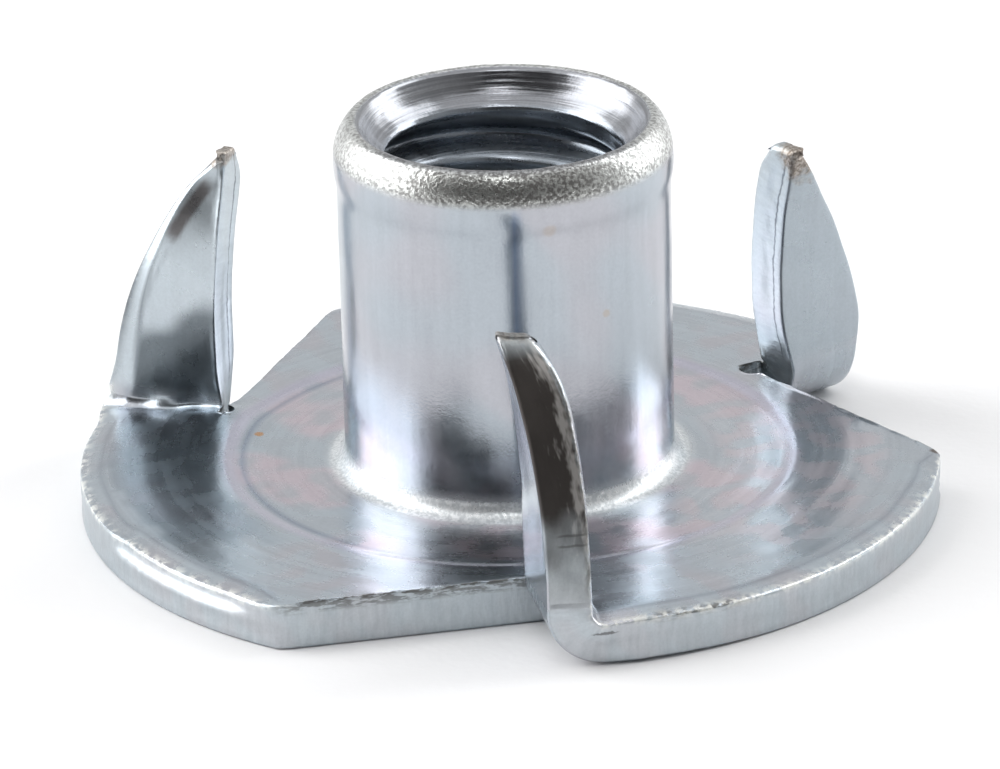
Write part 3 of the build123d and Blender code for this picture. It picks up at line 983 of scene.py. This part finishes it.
# the front prong's blackened round edge, with worn streaks
smut = N.mul(N.attr("smut"), N.step(N.add(depth, N.mul(N.sub(n_fine, 0.5), 0.16)), 0.08, 0.16))
streak = N.step(N.add(lay, N.mul(N.sub(0.45, depth), 0.60)), 0.50, 0.76)
col = N.mix(N.mul(smut, 0.93), col, N.mix(streak, rgb(0.045, 0.036, 0.031), rgb(0.36, 0.345, 0.33)))
line = N.mul(N.attr("front_edge"), N.window(N.math("PINGPONG", N.sub(N.add(high, N.mul(n_fine, 0.05)), 2.68), 0.11), 0.085, 0.20, 0.012),
             N.window(high, 2.72, 3.02, 0.02), N.window(depth, 0.15, 0.72, 0.06))
col = N.mix(N.mul(line, 0.6), col, rgb(0.10, 0.10, 0.10))
# brown tips
tips = N.mul(N.attr("tip_w"), N.step(N.add(N.attr("tip_z"), N.mul(N.sub(n_fine, 0.5), 3.2)), -1.0, 1.0))
col = N.mix(tips, col, N.mix(stip, rgb(0.175, 0.130, 0.095), rgb(0.42, 0.37, 0.32)))

# rust spot, specks, a dark corner and a nick
Pw = N.vec("ADD", P, N.scale((0.08, 0.08, 0.08), N.sub(n_spot, 0.5)))
for at, size, amount, tint in (
        ((-5.593, 1.30, 1.0), 0.11, 0.80, rgb(0.52, 0.27, 0.10)),
        ((2.145, -2.953, 5.47), 0.10, 0.45, rgb(0.46, 0.38, 0.27)),
        ((0.945, -3.526, 7.65), 0.15, 0.40, rgb(0.48, 0.40, 0.31)),
        ((9.40, -0.60, 1.02), 0.14, 0.90, rgb(0.09, 0.065, 0.05))):
    m_ = N.step(N.vec("DISTANCE", Pw, at, value=True), size * 1.25, size * 0.6)
    col = N.mix(N.mul(m_, amount), col, tint)
nick = N.step(N.vec("LENGTH", N.vec("MULTIPLY", N.vec("SUBTRACT", Pw, (1.90, -9.28, 0.80)), (0.22, 0.22, 1.6)), value=True), 0.075, 0.045)
col = N.mix(N.mul(nick, 0.75), col, rgb(0.11, 0.11, 0.11))

ra_, rb2 = parts_of(vattr("rough"))[:2]
rgh = N.add(N.blend(local, ra_, rb2), N.mul(N.sub(n_fine, 0.5), 0.06))
rgh = N.blend(N.math("MAXIMUM", tips, N.math("MAXIMUM", smut, burr)), rgh, 0.5)

# relief, in millimetres
a_fine, a_spot, a_lay = parts_of(vattr("amp"))
h_ = N.mul(N.sub(n_grain, 0.5), 0.0013)
h_ = N.add(h_, N.mul(N.sub(n_fine, 0.5), a_fine), N.mul(N.sub(n_spot, 0.5), a_spot), N.mul(N.sub(lay, 0.5), a_lay))
bmp = N.put("Bump")
bmp.inputs["Strength"].default_value = 1.0
bmp.inputs["Distance"].default_value = 0.001
N.feed(bmp.inputs["Height"], h_)

bsdf = N.put("BsdfPrincipled")
N.feed(bsdf.inputs["Base Color"], col)
# the beads, partly burnished wear and partly a painted highlight, and the fillet at the barrel's foot with its painted
# highlight, are made less metallic so their light colour shows from every side
N.feed(bsdf.inputs["Metallic"], N.sub(1.0, N.math("MAXIMUM", N.mul(bead_highlight, 0.55), N.attr("matt"))))
N.feed(bsdf.inputs["Roughness"], rgh)
N.feed(bsdf.inputs["Normal"], bmp.outputs[0])
N.feed(N.put("OutputMaterial").inputs[0], bsdf.outputs[0])
mesh.materials.append(mat)

# ---- floor, light, camera ---------------------------------------------------------
fm = bpy.data.meshes.new("floor")
S = 0.6
fm.from_pydata([(-S, -S, 0), (S, -S, 0), (S, S, 0), (-S, S, 0)], [], [(0, 1, 2, 3)])
floor = bpy.data.objects.new("floor", fm)
bpy.context.scene.collection.objects.link(floor)
fmat = bpy.data.materials.new("floor_white")
fmat.use_nodes = True
Fn = Nodes(fmat.node_tree)
fp = Fn.put("TexCoord").outputs["Object"]
f_n = Fn.noise(fp, 60.0, 3.0, 0.5)
f_g = Fn.noise(fp, 2500.0, 2.0, 0.6)
fb = Fn.put("BsdfPrincipled")
Fn.feed(fb.inputs["Base Color"], Fn.mix(f_n, rgb(0.805, 0.805, 0.815), rgb(0.830, 0.830, 0.835)))
Fn.feed(fb.inputs["Roughness"], Fn.blend(f_n, 0.66, 0.74))
fbump = Fn.put("Bump")
fbump.inputs["Distance"].default_value = 0.00001
Fn.feed(fbump.inputs["Height"], f_g)
Fn.feed(fb.inputs["Normal"], fbump.outputs[0])
Fn.feed(Fn.put("OutputMaterial").inputs[0], fb.outputs[0])
fm.materials.append(fmat)

world = bpy.data.worlds.new("studio")
bpy.context.scene.world = world
world.use_nodes = True
wt = world.node_tree
wt.nodes.clear()
wl = wt.links.new


def wmath(op, a, b=None, c=None):
    n = wt.nodes.new("ShaderNodeMath")
    n.operation = op
    for i, v in enumerate((a, b, c)):
        if v is None:
            continue
        if isinstance(v, (int, float)):
            n.inputs[i].default_value = v
        else:
            wl(v, n.inputs[i])
    return n.outputs[0]


def wrange(v, a, b, c, d):
    n = wt.nodes.new("ShaderNodeMapRange")
    n.interpolation_type = "SMOOTHSTEP"
    for key, val in (("Value", v), ("From Min", a), ("From Max", b), ("To Min", c), ("To Max", d)):
        if isinstance(val, (int, float)):
            n.inputs[key].default_value = val
        else:
            wl(val, n.inputs[key])
    return n.outputs[0]


tc = wt.nodes.new("ShaderNodeTexCoord")
sep = wt.nodes.new("ShaderNodeSeparateXYZ")
wl(tc.outputs["Generated"], sep.inputs[0])
az = wmath("DIVIDE", wmath("ARCTAN2", sep.outputs[1], sep.outputs[0]), 2 * math.pi)
az = wmath("WRAP", az, 1.0, 0.0)
el = wmath("MULTIPLY", wmath("ARCSINE", sep.outputs[2]), 180 / math.pi)
ramp = wt.nodes.new("ShaderNodeValToRGB")
# brightness round the horizon, anticlockwise from the nut's right
AROUND = [(0, .50), (6, .55), (11, 4.4), (37, 4.4), (44, .80), (138, .80), (150, 4.4),
          (198, 4.4), (208, .05), (284, .05), (298, .26), (340, .50), (360, .50)]
cr = ramp.color_ramp
cr.interpolation = "LINEAR"
while len(cr.elements) < len(AROUND):
    cr.elements.new(0.5)
for e_, (deg, val) in zip(cr.elements, AROUND):
    e_.position = deg / 360.0
    e_.color = (val / 5, val / 5, val / 5, 1)
wl(az, ramp.inputs[0])
sides = wmath("MULTIPLY", ramp.outputs[0], 5.0)
high = wrange(el, 48, 62, 0, 1)
# the dark part of the room stands higher over the horizon at the front left
az_deg = wmath("MULTIPLY", az, 360.0)
lift = wmath("MULTIPLY", wrange(az_deg, 196, 206, 0, 1), wrange(az_deg, 238, 256, 1, 0))
top = wmath("MULTIPLY_ADD", lift, 13.0, 3.0)
low = wrange(el, -2, top, 1, 0)
val = wmath("ADD", wmath("MULTIPLY", sides, wmath("SUBTRACT", 1.0, high)), wmath("MULTIPLY", high, 1.15))
val = wmath("ADD", wmath("MULTIPLY", val, wmath("SUBTRACT", 1.0, low)), wmath("MULTIPLY", low, 0.90))
# a small lamp high in front
aim = wt.nodes.new("ShaderNodeVectorMath")
aim.operation = "DOT_PRODUCT"
wl(tc.outputs["Generated"], aim.inputs[0])
aim.inputs[1].default_value = (0.0, -math.cos(math.radians(57)), math.sin(math.radians(57)))
lamp = wrange(aim.outputs["Value"], math.cos(math.radians(8.0)), math.cos(math.radians(5.0)), 0, 5.0)
val = wmath("ADD", val, lamp)
comb = wt.nodes.new("ShaderNodeCombineColor")
for i in range(3):
    wl(val, comb.inputs[i])
bg = wt.nodes.new("ShaderNodeBackground")
wl(comb.outputs[0], bg.inputs["Color"])
bg.inputs["Strength"].default_value = 1.0
wo = wt.nodes.new("ShaderNodeOutputWorld")
wl(bg.outputs[0], wo.inputs["Surface"])

bpy.context.scene.view_settings.view_transform = "Standard"
bpy.context.scene.view_settings.look = "None"

cam_data = bpy.data.cameras.new("camera")
cam = bpy.data.objects.new("camera", cam_data)
bpy.context.scene.collection.objects.link(cam)
cam_data.sensor_fit = "HORIZONTAL"
cam_data.sensor_width = 36.0
cam_data.lens = 36.0 * 7696.18 / 1000.0
cam_data.clip_start, cam_data.clip_end = 0.01, 10.0
e, rho = 0.3954292, -0.0235619
fw = Vector((0, math.cos(e), -math.sin(e)))
right = Vector((1, 0, 0))
up = Vector((0, math.sin(e), math.cos(e)))
r2 = math.cos(rho) * right + math.sin(rho) * up
u2 = -math.sin(rho) * right + math.cos(rho) * up
target = Vector((-0.187668, 0.0, 2.626796)) * 0.001
eye = target - fw * 0.170
M4 = Matrix((
    (r2.x, u2.x, -fw.x, eye.x),
    (r2.y, u2.y, -fw.y, eye.y),
    (r2.z, u2.z, -fw.z, eye.z),
    (0, 0, 0, 1)))
cam.matrix_world = M4
bpy.context.scene.camera = cam
